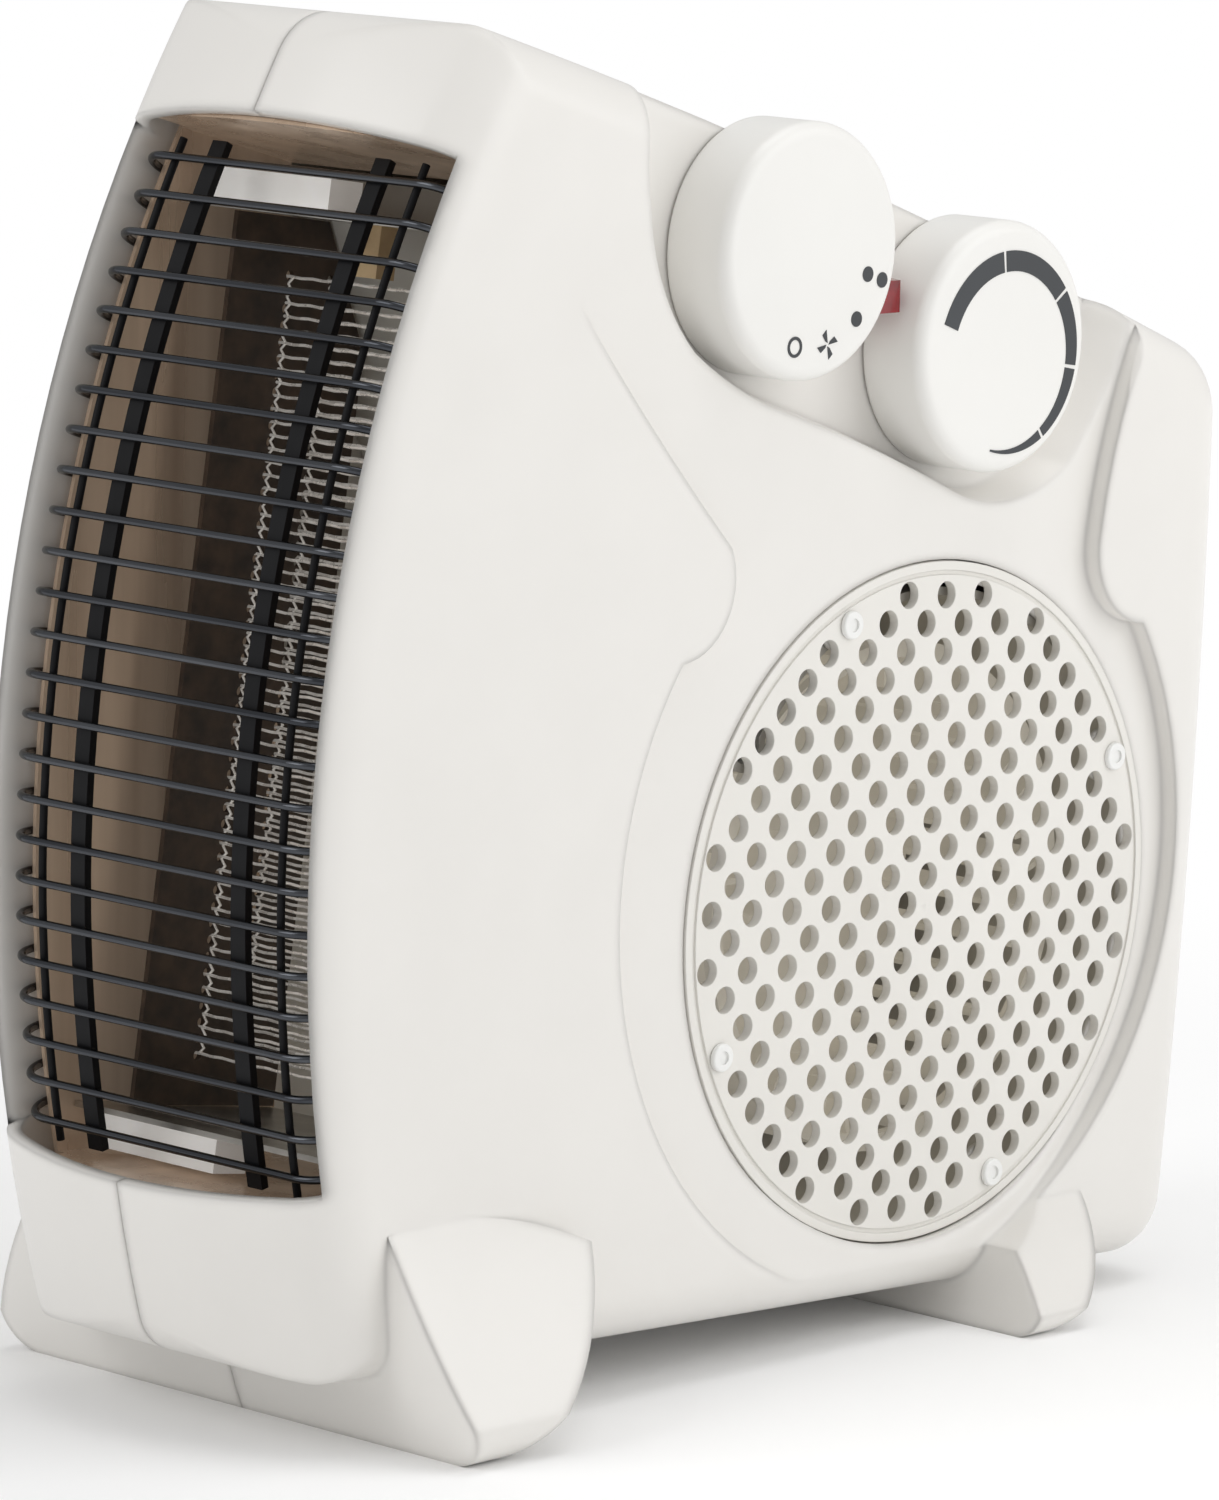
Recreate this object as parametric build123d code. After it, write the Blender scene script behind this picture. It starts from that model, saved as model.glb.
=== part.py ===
from build123d import *
import math
import os

# Upright fan heater, millimetres. X runs from the plain side to the knob side, the outlet faces -Y,
# Z is up, and the origin is on the floor under the middle of the body.

# Body
half_width = 41.0
half_depth = 121.0
nose_radius = 266.0
nose_axis_z = 94.4
nose_top_z = 239.2
nose_low_z = 13.0
plan_radius = 90.0
rim_radius = 13.0
rear_top_z = 170.0
rear_low_y = 112.5
rear_low_z = 4.5
top_rise = 3.0
rear_bulge = 2.4
wall = 2.5
edge_round = 9.0
nose_top_round = 12.0
rear_top_round = 15.0
rear_low_round = 12.0
nose_low_round = 10.0
seam_gap = 0.25

# Outlet
outlet_top_deg = 28.5
outlet_low_deg = -11.0
outlet_lip_radius = 256.4
liner_half = 35.8
liner_sheet = 0.8
liner_gap = 0.3
liner_rear_y = -45.0
liner_floor_slope = -0.0741
liner_floor_z = 39.1
liner_ceiling_slope = -0.275
liner_ceiling_z = 217.5
liner_bend_y = -80.0
liner_side_radius = 247.6

# Guard
wire_count = 25
wire_radius = 0.7
wire_line_radius = 253.6
wire_first_deg = 27.4
wire_last_deg = -10.6
wire_leg_length = 9.0
wire_bend = 7.0
bar_x = 19.5
bar_width = 3.5
bar_thick = 1.5
bar_overrun_deg = 0.9
rod_x = 29.0
rod_radius = 0.7

# Intake disc and the dish round it
disc_y = 42.1
disc_z = 78.2
disc_radius = 61.0
disc_thick = 1.9
disc_dome = 1.3
disc_gap = 0.3
disc_seat_depth = 1.5
disc_ledge = 3.5
disc_groove_radius = 58.6
disc_groove_width = 0.8
disc_groove_depth = 0.4
lattice_tilt_deg = 4.3
hole_pitch = 10.0
hole_radius = 2.4
hole_field_radius = 56.5
rivet_along = 25.0
rivet_across = 50.0
dish_depth = 3.5
dish_y = 35.2
dish_z = 84.0
dish_radius = 74.0
dish_fade_z = 40.0
dish_fade_radius = 112.0
dish_ramp_radius = 400.0
dish_ramp_start = 10.0
rivet_head_radius = 2.5
rivet_head_height = 0.9
rivet_dimple_radius = 1.2
rivet_shank_radius = 1.5
rivet_gap = 0.1
rivet_tab_radius = 5.0

# Knob shelf
shelf_x = 30.0
shelf_lean_rear = 7.7
shelf_lean_low = 3.0
knob_radius = 22.3
knob_height = 13.5
knob_gap = 0.5
knob_round = 2.4
knob_wall = 2.2
knob_hub_radius = 5.6
spindle_fit = 0.03
mode_knob_y = 2.1
mode_knob_z = 196.6
thermostat_knob_y = 53.0
thermostat_knob_z = 177.1
spindle_radius = 3.0
spindle_hole_gap = 0.3
spindle_reach = 8.5
spindle_depth = 8.0
lens_side = 6.8
lens_height = 9.0
lens_taper_deg = 4.0
lens_flange = 1.3
lens_y = 27.5
lens_z = 187.0
neon_radius = 2.2
neon_length = 14.0

# Feet
front_foot_half = 58.5
front_foot_top_z = 38.6
rear_foot_half = 57.5
rear_foot_top_z = 20.6

# Element, drawn in its own leaning frame: depth runs rearward and rise runs up
element_y = -74.6
element_z = 121.8
element_tilt_deg = 8.0
board_x = 30.0
board_thick = 1.0
board_depth = 34.0
board_up = 80.0
board_down = 74.8
board_cut_rise = 58.0
board_cut_depth = 22.0
plate_thick = 1.0
plate_half = 35.5
plate_front = 8.0
heat_wire_radius = 0.5
heat_wire_hole_gap = 0.4
heat_wire_turn_x = 31.5
heat_loops = 24
heat_low = -66.0
heat_high = 70.0
front_row = 14.0
rear_row = 24.0
block_height = 5.8
block_depth = 7.6
block_length = 29.6
seat_gap = 0.2
cutout_width = 7.0
cutout_x = -6.5
cutout_depth = 10.4
cutout_thick = 4.4
cutout_height = 9.0

# Fan and motor
fan_radius = 46.0
fan_blades = 36
blade_thick = 1.0
blade_length = 8.0
fan_back_x = -7.5
fan_plate = 1.5
fan_front_x = 30.0
fan_ring_width = 3.0
fan_ring_thick = 2.0
hub_radius = 8.0
hub_front_x = 8.0
hub_back_x = -9.0
shaft_radius = 2.0
shaft_back_x = -36.5
bearing_gap = 0.05
scroll_thick = 1.5
scroll_gap = 0.3
scroll_low_radius = 62.0
scroll_rear_radius = 60.0
scroll_top_radius = 55.0
scroll_tongue_radius = 50.5
stack_back_x = -30.0
stack_thick = 12.0
stack_width = 48.0
stack_low = 20.0
stack_high = 42.0
stack_leg = 11.0
window_low = 16.0
rotor_radius = 11.0
rotor_air_gap = 0.4
rotor_overhang = 1.0
bracket_thick = 1.5
bracket_width = 13.0
bracket_standoff = 2.5
motor_screw_pitch = 34.0
motor_screw_radius = 1.5
motor_head_radius = 3.0
motor_head_height = 2.0
bearing_radius = 5.0
bearing_length = 3.5
coil_thick = 6.0
coil_gap = 0.25

# Closing screws
screw_radius = 1.45
screw_hole_radius = 1.5
screw_head_radius = 3.2
screw_head_height = 2.2
screw_sink = 4.0
screw_reach = 12.0
boss_radius = 4.2
head_gap = 0.2

# Controls behind the shelf
switch_depth = 15.0
switch_side = 22.0

# Mains inlet
inlet_z = 40.0
inlet_y = 117.4
bush_radius = 7.0
bush_gap = 0.2
bush_flange_radius = 9.0
bush_flange = 2.0
bush_neck = 5.2
cord_bore_radius = 3.6
clamp_y = 103.0
clamp_x = 3.6
clamp_thick = 2.5
clamp_width = 8.0
clamp_length = 24.0
clamp_screw_pitch = 16.0
clamp_post_radius = 2.8
clamp_screw_radius = 1.2
terminal_y = 85.0
terminal_z = 145.0
terminal_size = (20.0, 14.0, 12.0)
terminal_x = -10.0
lead_radius = 1.1
lead_hole_gap = 0.5
motor_lead_x = -20.0
motor_lead_y = 46.0

nose_axis_y = nose_radius - half_depth
inner_half = half_width - wall
dish_floor_x = half_width - dish_depth
disc_seat_x = dish_floor_x - disc_seat_depth
screw_places = [(-58, 224), (101, 158), (101, 22), (-30, 21.5), (18, 148)]


def side_plane(x):
    """Plane across X, local x along +Y and local y along +Z."""
    return Plane(origin=(x, 0, 0), x_dir=(0, 1, 0), z_dir=(1, 0, 0))


def slab(face, x_low, x_high):
    """Extrude a face drawn in (Y, Z) from x_low to x_high."""
    return extrude(side_plane(x_low) * face, amount=x_high - x_low)


def block(x, y, z):
    """Box from three (low, high) pairs."""
    size = (x[1] - x[0], y[1] - y[0], z[1] - z[0])
    return Pos((x[0] + x[1]) / 2, (y[0] + y[1]) / 2, (z[0] + z[1]) / 2) * Box(*size)


def rod_along_x(radius, y, z, x_low, x_high):
    """Cylinder along X between two X values."""
    return slab(Pos(y, z) * Circle(radius), x_low, x_high)


def polar(radius, degrees):
    """Point (Y, Z) at an angle above the forward ray from the nose axis."""
    turn = math.radians(degrees)
    return (nose_axis_y - radius * math.cos(turn), nose_axis_z + radius * math.sin(turn))


def around_fan(radius, degrees):
    """Point (Y, Z) round the fan axis, counted from the rear and upward."""
    turn = math.radians(degrees)
    return (disc_y + radius * math.cos(turn), disc_z + radius * math.sin(turn))


def outline(points):
    """Face from a list of points, where a bare pair is a corner and a nested pair is an arc's middle."""
    edges = []
    for index, (corner, middle) in enumerate(points):
        following = points[(index + 1) % len(points)][0]
        if middle is None:
            edges.append(Line(corner, following))
        else:
            edges.append(ThreePointArc(corner, middle, following))
    return make_face(edges)


def arc_middle(start, end, rise):
    """Middle of an arc from start to end that bulges to the left of the way by rise."""
    dy = end[0] - start[0]
    dz = end[1] - start[1]
    length = math.hypot(dy, dz)
    return ((start[0] + end[0]) / 2 - dz / length * rise, (start[1] + end[1]) / 2 + dy / length * rise)


def nose_point(z):
    """Point of the front curve on the middle plane at a height."""
    return (nose_axis_y - math.sqrt(nose_radius ** 2 - (z - nose_axis_z) ** 2), z)


def body_outline(inset):
    """Side outline of the body as a face in (Y, Z)."""
    nose_top = nose_point(nose_top_z)
    nose_low = nose_point(nose_low_z)
    rear_top = (half_depth, rear_top_z)
    rear_low = (rear_low_y, rear_low_z)
    face = outline([
        (nose_low, (-half_depth, nose_axis_z)),
        (nose_top, arc_middle(nose_top, rear_top, top_rise)),
        (rear_top, arc_middle(rear_top, rear_low, rear_bulge)),
        (rear_low, None),
    ])
    if inset:
        face = offset(face, amount=-inset, kind=Kind.INTERSECTION)
    rounds = [(nose_top, nose_top_round), (rear_top, rear_top_round),
              (rear_low, rear_low_round), (nose_low, nose_low_round)]
    for corner, radius in rounds:
        vertex = face.vertices().sort_by_distance((corner[0], corner[1], 0))[0]
        face = fillet(vertex, radius - inset)
    return face


def barrel(inset):
    """Solid of revolution about the nose axis, whose rim rounds the front in plan."""
    radius = plan_radius - inset
    rim = rim_radius - inset
    side = half_width - inset
    centre = nose_radius - plan_radius
    rim_x = half_width - rim_radius
    rim_r = centre + math.sqrt((plan_radius - rim_radius) ** 2 - rim_x ** 2)
    turn = math.atan2(rim_r - centre, rim_x)
    joint = (radius * math.cos(turn), centre + radius * math.sin(turn))
    on_rim = (rim_x + rim * math.cos(turn / 2), rim_r + rim * math.sin(turn / 2))
    profile = outline([
        ((-side, 1), None),
        ((side, 1), None),
        ((side, rim_r), on_rim),
        (joint, (0, centre + radius)),
        ((-joint[0], joint[1]), (-on_rim[0], on_rim[1])),
        ((-side, rim_r), None),
    ])
    placed = Plane(origin=(0, nose_axis_y, nose_axis_z), x_dir=(1, 0, 0), z_dir=(0, -1, 0)) * profile
    return revolve(placed, axis=Axis((0, nose_axis_y, nose_axis_z), (1, 0, 0)))


def body_solid(inset):
    """Main body, rounded along its side edges and in plan at the nose."""
    side = half_width - inset
    prism = slab(body_outline(inset), -side, side)
    rim = prism.faces().filter_by(Axis.X).edges()
    prism = fillet(rim, edge_round - inset)
    return prism & barrel(inset)


def half_body(inset):
    """Knob side half of the body, up to the seam."""
    prism = slab(body_outline(inset), seam_gap / 2, half_width - inset)
    rim = prism.faces().sort_by(Axis.X)[-1].edges()
    return fillet(rim, edge_round - inset) & barrel(inset)


def foot_solid(side_face, front_face, inset):
    """Foot as the overlap of a side outline and a front outline."""
    if inset:
        side_face = offset(side_face, amount=-inset)
        front_face = offset(front_face, amount=-inset)
    reach = front_foot_half + 5
    along = slab(side_face, -reach, reach)
    front_plane = Plane(origin=(0, half_depth, 0), x_dir=(1, 0, 0), z_dir=(0, -1, 0))
    across = extrude(front_plane * front_face, amount=2 * half_depth)
    return along & across


def flare(half, top, corner, corner_z, belly):
    """Front outline of a foot: flat base, rounded corners and sides that flare out from the body."""
    edge = half_width - 0.2
    right = [((half - corner, 0), (half - corner * 0.3, corner_z * 0.3)), ((half, corner_z), belly),
             ((edge, top), None)]
    left = [((-edge, top), (-belly[0], belly[1])),
            ((-half, corner_z), (-half + corner * 0.3, corner_z * 0.3)),
            ((-half + corner, 0), None)]
    return outline(right + left)


def front_foot(inset):
    """Wide foot under the outlet with its two flared wings."""
    side_face = outline([
        ((-93, 38), (-90.9, 14)), ((-86, 0), None), ((-78, 0), (-62, 11)), ((-48.5, 31.5), (-70, 38)),
    ])
    return foot_solid(side_face, flare(front_foot_half, front_foot_top_z, 7, 7, (51, 22)), inset)


def rear_foot(inset):
    """Narrower foot at the back."""
    side_face = outline([
        ((61.7, rear_foot_top_z), None), ((54.5, 0), None), ((61, 0), (75, 8.4)),
        ((85.5, rear_foot_top_z), None),
    ])
    return foot_solid(side_face, flare(rear_foot_half, rear_foot_top_z, 5, 4, (50.5, 12.0)), inset)


def shelf_outline(rear, low):
    """Outline of the knob shelf, its rear wall drawn in by rear and its other walls by low."""
    over = 20
    return outline([
        ((-36.4 + low, 213.2), (-31.5 + low, 193 + low / 2)),
        ((-21.6 + low, 179.4 + low), (-8 + low / 2, 171.6 + low)),
        ((6.1, 166.4 + low), (26.1, 159.4 + low)),
        ((50, 149.4 + low), (64.5 - rear / 2, 147.4 + low)),
        ((81.4 - rear, 152.8 + low), (90.5 - rear, 165 + low / 2)),
        ((96.8 - rear, 177.1), None),
        ((106 - rear, 195 + over), None),
        ((-36.4 + low, 225 + over), None),
    ])


def shelf_cutter(grow):
    """Space of the knob shelf, or the shelf and its wall when grow is set."""
    outer = shelf_outline(-grow, -grow)
    inner = shelf_outline(shelf_lean_rear - grow, shelf_lean_low - grow)
    floor = shelf_x - grow
    walls = loft([side_plane(floor) * inner, side_plane(half_width) * outer], ruled=True)
    return walls + slab(outer, half_width, half_width + 10)


def dish_outline(grow):
    """Hourglass outline of the shallow dish."""
    low_left = (dish_y - dish_radius * math.cos(math.radians(36)),
                dish_z + dish_radius * math.sin(math.radians(36)))
    low_right = (dish_y + dish_radius * math.cos(math.radians(32.5)),
                 dish_z + dish_radius * math.sin(math.radians(32.5)))
    face = outline([
        (low_left, (dish_y, dish_z - dish_radius)),
        (low_right, (86.2, 131.2)),
        ((84.5, 139.3), (88.6, 158.5)),
        ((97.5, 180.0), None),
        ((97.5, 205.0), None),
        ((-52, 205.0), None),
        ((-52, 190.0), (-31.2, 165.6)),
        ((-13.2, 146.5), (-12.2, 138.6)),
    ])
    if grow:
        face = offset(face, amount=grow)
    return face


def dish_cutter(grow):
    """Space of the dish, its floor run out to nothing at the bottom and at the upper front."""
    floor = dish_floor_x - grow
    top = half_width + 8
    cutter = slab(dish_outline(grow), floor, top)
    low_plane = Plane(origin=(0, 200, 0), x_dir=(1, 0, 0), z_dir=(0, -1, 0))
    drop = 36.0
    rise = dish_fade_radius - math.sqrt(dish_fade_radius ** 2 - drop ** 2)
    half_rise = dish_fade_radius - math.sqrt(dish_fade_radius ** 2 - drop ** 2 / 4)
    low_fill = outline([
        ((floor, dish_fade_z), (floor + half_rise, dish_fade_z - drop / 2)),
        ((floor + rise, dish_fade_z - drop), None),
        ((floor - 5, dish_fade_z - drop), None),
        ((floor - 5, dish_fade_z), None),
    ])
    cutter -= extrude(low_plane * low_fill, amount=400)
    ramp_dir = (0, -0.65, 0.76)
    run = 75.0
    ramp_rise = dish_ramp_radius - math.sqrt(dish_ramp_radius ** 2 - run ** 2)
    ramp_half = dish_ramp_radius - math.sqrt(dish_ramp_radius ** 2 - run ** 2 / 4)
    across = Vector(*ramp_dir).cross(Vector(1, 0, 0))
    start = Vector(0, -12, 143) + Vector(*ramp_dir).normalized() * dish_ramp_start
    plane = Plane(origin=start - across.normalized() * 200, x_dir=(1, 0, 0), z_dir=across)
    sign = 1 if (plane.y_dir.dot(Vector(*ramp_dir)) > 0) else -1
    high_fill = outline([
        ((floor, 0), (floor + ramp_half, sign * run / 2)),
        ((floor + ramp_rise, sign * run), None),
        ((floor - 5, sign * run), None),
        ((floor - 5, 0), None),
    ])
    return cutter - extrude(plane * high_fill, amount=400)


def outlet_cutter():
    """Front opening: the nose between its side lips and the space behind it."""
    def sector(low, high):
        top = outlet_top_deg
        bottom = outlet_low_deg
        middle = (top + bottom) / 2
        return outline([
            (polar(high, bottom), polar(high, middle)), (polar(high, top), None),
            (polar(low, top), polar(low, middle)), (polar(low, bottom), None),
        ])
    wide = slab(sector(outlet_lip_radius, nose_radius + 20), -half_width - 5, half_width + 5)
    deep = slab(sector(nose_radius - 25, nose_radius + 20), -inner_half, inner_half)
    return wide + deep


def rivet_places():
    """Centres (Y, Z) of the four rivets of the intake disc."""
    pairs = [(-rivet_along, rivet_across), (rivet_across, rivet_along),
             (-rivet_across, -rivet_along), (rivet_along, -rivet_across)]
    return [lattice_point(*pair) for pair in pairs]


def lattice_point(across, up):
    """Point of the turned hole lattice in (Y, Z)."""
    turn = math.radians(lattice_tilt_deg)
    return (disc_y + across * math.cos(turn) + up * math.sin(turn),
            disc_z - across * math.sin(turn) + up * math.cos(turn))


def hole_places():
    """Centres (Y, Z) of the intake holes, rivet places left out."""
    places = []
    rivets = {(-rivet_along, rivet_across), (rivet_across, rivet_along),
              (-rivet_across, -rivet_along), (rivet_along, -rivet_across)}
    rows = int(hole_field_radius // (hole_pitch / 2))
    for row in range(-rows, rows + 1):
        up = row * hole_pitch / 2
        shift = hole_pitch / 2 if row % 2 == 0 else 0.0
        count = int(hole_field_radius // hole_pitch) + 1
        for column in range(-count, count + 1):
            across = column * hole_pitch + shift
            if math.hypot(across, up) <= hole_field_radius and (across, up) not in rivets:
                places.append(lattice_point(across, up))
    return places


def half_hull(inset):
    """Half of the body with its half of both feet."""
    knob_side = block((seam_gap / 2, 2 * front_foot_half), (-half_depth, half_depth), (-10, 2 * rear_top_z))
    return half_body(inset) + (front_foot(inset) & knob_side) + (rear_foot(inset) & knob_side)


def boss(place, x_low, x_high):
    """Round post for a closing screw."""
    return rod_along_x(boss_radius, place[0], place[1], x_low, x_high)


def right_shell():
    """Knob side of the body with its shelf, dish, disc seat and screw posts."""
    outer = half_hull(0) - shelf_cutter(0) - dish_cutter(0)
    inner = half_hull(wall) - shelf_cutter(wall) - dish_cutter(wall)
    shell = outer - inner
    posts = [boss(place, seam_gap / 2, half_width) & outer for place in screw_places]
    shell = shell + posts
    for y, z in screw_places:
        shell -= rod_along_x(screw_hole_radius, y, z, 0, screw_reach + 2)
    shell -= rod_along_x(disc_radius - disc_ledge, disc_y, disc_z, 20, 60)
    tabs = [rod_along_x(rivet_tab_radius, y, z, dish_floor_x - wall, disc_seat_x) for y, z in rivet_places()]
    ring = rod_along_x(disc_radius, disc_y, disc_z, dish_floor_x - wall, disc_seat_x)
    shell = shell + [tab & ring for tab in tabs]
    shell -= rod_along_x(disc_radius + disc_gap, disc_y, disc_z, disc_seat_x, 60)
    for y, z in rivet_places():
        shell -= rod_along_x(rivet_shank_radius + rivet_gap, y, z, 20, 60)
    for y, z in ((mode_knob_y, mode_knob_z), (thermostat_knob_y, thermostat_knob_z)):
        shell -= rod_along_x(spindle_radius + spindle_hole_gap, y, z, 20, 60)
    shell -= slab(Pos(lens_y, lens_z) * Rectangle(lens_side + 0.4, lens_side + 0.4), 20, 60)
    return shell - outlet_cutter() - inlet_cutter()


def left_shell():
    """Plain side of the body with the posts of the screws, motor, clamp and terminal block."""
    outer = mirror(half_hull(0), about=Plane.YZ)
    shell = outer - mirror(half_hull(wall), about=Plane.YZ)
    posts = [boss(place, -half_width, -seam_gap / 2) & outer for place in screw_places]
    for side in (-1, 1):
        y = disc_y + side * motor_screw_pitch / 2
        posts.append(rod_along_x(bearing_radius - 1, y, disc_z, -inner_half - 1, rear_bracket_x()))
        z = inlet_z + side * clamp_screw_pitch / 2
        posts.append(rod_along_x(clamp_post_radius, clamp_y, z, -inner_half - 1, clamp_x - seam_gap))
    posts.append(rod_along_x(clamp_post_radius, terminal_y, terminal_z, -inner_half - 1,
                             terminal_x - terminal_size[0] / 2))
    shell = shell + posts
    for y, z in screw_places:
        shell -= rod_along_x(screw_radius + bearing_gap, y, z, -half_width, 0)
        shell -= rod_along_x(screw_head_radius + head_gap, y, z,
                             -half_width - 5, -half_width + screw_sink + 2.2)
    for side in (-1, 1):
        y = disc_y + side * motor_screw_pitch / 2
        shell -= rod_along_x(motor_screw_radius, y, disc_z, -inner_half + 0.5, rear_bracket_x())
        z = inlet_z + side * clamp_screw_pitch / 2
        shell -= rod_along_x(clamp_screw_radius, clamp_y, z, clamp_x - 12, clamp_x)
    return shell - outlet_cutter() - inlet_cutter()


def inlet_cutter():
    """Round hole in the rear wall, shared by both shells."""
    plane = Plane(origin=(0, inlet_y - 12, inlet_z), x_dir=(1, 0, 0), z_dir=(0, 1, 0))
    return extrude(plane * Circle(bush_radius + bush_gap), amount=30)


def rear_bracket_x():
    """Left face of the rear motor bracket."""
    return stack_back_x - bracket_standoff - bracket_thick


def intake_grille():
    """Domed round disc with its lattice of holes and a thin ring near the edge."""
    chord = disc_radius
    sphere = (chord ** 2 + disc_dome ** 2) / (2 * disc_dome)
    half_chord = chord / 2
    half_rise = disc_dome - (sphere - math.sqrt(sphere ** 2 - half_chord ** 2))
    face_x = disc_seat_x + disc_thick

    def dome(x):
        profile = outline([((0, x - 10), None), ((chord, x - 10), None),
                           ((chord, x), (half_chord, x + half_rise)),
                           ((0, x + disc_dome), None)])
        plane = Plane(origin=(0, disc_y, disc_z), x_dir=(0, 1, 0), z_dir=(0, 0, -1))
        return revolve(plane * profile, axis=Axis((0, disc_y, disc_z), (1, 0, 0)))

    rim = rod_along_x(disc_radius, disc_y, disc_z, disc_seat_x, face_x)
    cap = dome(face_x) & rod_along_x(disc_radius, disc_y, disc_z, disc_seat_x, 60)
    hollow = dome(disc_seat_x) & rod_along_x(disc_radius - disc_ledge, disc_y, disc_z, disc_seat_x, 60)
    plate = (rim + cap) - hollow
    holes = Sketch() + [Pos(y, z) * Circle(hole_radius) for y, z in hole_places()]
    holes += [Pos(y, z) * Circle(rivet_shank_radius + rivet_gap) for y, z in rivet_places()]
    plate -= slab(holes, 20, 60)
    ring = Circle(disc_groove_radius + disc_groove_width) - Circle(disc_groove_radius)
    return plate - slab(Pos(disc_y, disc_z) * ring, face_x + 0.12 - disc_groove_depth, 60)


def grille_rivets():
    """Four rivets with a dimple in the head."""
    rivets = []
    for y, z in rivet_places():
        seat = disc_seat_x + disc_thick + rivet_rise()
        head = rod_along_x(rivet_head_radius, y, z, seat, seat + rivet_head_height)
        head = fillet(head.faces().sort_by(Axis.X)[-1].edges(), 0.4)
        head -= rod_along_x(rivet_dimple_radius, y, z, seat + rivet_head_height - 0.4, 60)
        rivets.append(head + rod_along_x(rivet_shank_radius, y, z, dish_floor_x - wall - 0.8, seat))
    return Compound(children=rivets)


def rivet_rise():
    """Height of the dome under a rivet head, with a hair of room."""
    sphere = (disc_radius ** 2 + disc_dome ** 2) / (2 * disc_dome)
    reach = math.hypot(rivet_along, rivet_across) - rivet_head_radius
    return disc_dome - (sphere - math.sqrt(sphere ** 2 - reach ** 2)) + 0.05


def guard_wires():
    """Horizontal wires bent back at both ends, between the liner and the shells."""
    leg_x = liner_half + liner_sheet + (inner_half - liner_half - liner_sheet) / 2
    wires = []
    for index in range(wire_count):
        share = index / (wire_count - 1)
        turn = math.radians(wire_first_deg + (wire_last_deg - wire_first_deg) * share)
        outward = Vector(0, -math.cos(turn), math.sin(turn))
        axis = Vector(0, nose_axis_y, nose_axis_z)
        front = axis + outward * wire_line_radius
        back = axis + outward * (wire_line_radius - wire_leg_length)
        points = [Vector(-leg_x, back.Y, back.Z), Vector(-leg_x, front.Y, front.Z),
                  Vector(leg_x, front.Y, front.Z), Vector(leg_x, back.Y, back.Z)]
        path = FilletPolyline(*points, radius=wire_bend)
        section = Plane(origin=points[0], z_dir=outward) * Circle(wire_radius)
        wires.append(sweep(section, path=path))
    return Compound(children=wires)


def guard_uprights():
    """Two flat bars and two thin rods that follow the curve behind the wires."""
    top = wire_first_deg + bar_overrun_deg
    low = wire_last_deg - bar_overrun_deg
    high = wire_line_radius - wire_radius
    middle = (top + low) / 2

    def strip(outer, thick):
        return outline([(polar(outer, low), polar(outer, middle)), (polar(outer, top), None),
                        (polar(outer - thick, top), polar(outer - thick, middle)),
                        (polar(outer - thick, low), None)])
    pieces = []
    for side in (-1, 1):
        pieces.append(slab(strip(high, bar_thick),
                           side * bar_x - bar_width / 2, side * bar_x + bar_width / 2))
        line_radius = high - rod_radius
        start = Vector(side * rod_x, *polar(line_radius, low))
        path = ThreePointArc(start, Vector(side * rod_x, *polar(line_radius, middle)),
                             Vector(side * rod_x, *polar(line_radius, top)))
        section = Plane(origin=start, z_dir=path % 0) * Circle(rod_radius)
        pieces.append(sweep(section, path=path))
    return Compound(children=pieces)


def liner_ceiling(y):
    """Height of the liner ceiling on its inner side."""
    return liner_ceiling_z + (y - liner_bend_y) * liner_ceiling_slope


def liner_floor(y):
    """Height of the liner floor on its inner side."""
    return liner_floor_z + (y - liner_bend_y) * liner_floor_slope


def duct_liner():
    """Polished sheet box, open at the front and rear."""
    front = -135.0
    rear = liner_rear_y

    def profile(grow, reach):
        return outline([((front - reach, liner_floor(front) - grow), None),
                        ((rear + reach, liner_floor(rear) - grow), None),
                        ((rear + reach, liner_ceiling(rear + reach) + grow), None),
                        ((front - reach, liner_ceiling(front - reach) + grow), None)])
    box = slab(profile(liner_sheet, 0), -liner_half - liner_sheet, liner_half + liner_sheet)
    box -= slab(profile(0, 10), -liner_half, liner_half)
    box = box & barrel(wall + liner_gap)
    box = box & body_solid(wall + liner_gap)
    keep = rod_along_x(liner_side_radius, nose_axis_y, nose_axis_z, -half_width, half_width)
    middle = block((-liner_half + 2, liner_half - 2), (-200, 200), (0, 300))
    return box & (keep + middle)


def element_plane(x):
    """Leaning frame of the element at an X value: local x rearward, local y up along the boards."""
    turn = math.radians(element_tilt_deg)
    return Plane(origin=(x, element_y, element_z), x_dir=(0, math.cos(turn), -math.sin(turn)),
                 z_dir=(1, 0, 0))


def leaning(face, x_low, x_high):
    """Extrude a face drawn in (depth, rise) of the element along X."""
    return extrude(element_plane(x_low) * face, amount=x_high - x_low)


def leaning_box(x, depth, rise):
    """Box in the element's frame from three (low, high) pairs."""
    face = outline([((depth[0], rise[0]), None), ((depth[1], rise[0]), None),
                    ((depth[1], rise[1]), None), ((depth[0], rise[1]), None)])
    return leaning(face, x[0], x[1])


def pass_rises():
    """Rise of each straight pass of a heating circuit."""
    passes = 2 * heat_loops
    step = (heat_high - heat_low) / (passes - 1)
    return [heat_low + step * index for index in range(passes)]


def mica_board(side):
    """Board with two rows of holes for the heating circuits."""
    face = outline([((0, -board_down), None), ((board_depth, -board_down), None),
                    ((board_depth, board_cut_rise), None), ((board_cut_depth, board_up), None),
                    ((0, board_up), None)])
    holes = Sketch() + [Pos(depth, rise) * Circle(heat_wire_radius + heat_wire_hole_gap)
                        for depth in (front_row, rear_row) for rise in pass_rises()]
    return leaning(face - holes, side * board_x - board_thick / 2, side * board_x + board_thick / 2)


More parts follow.
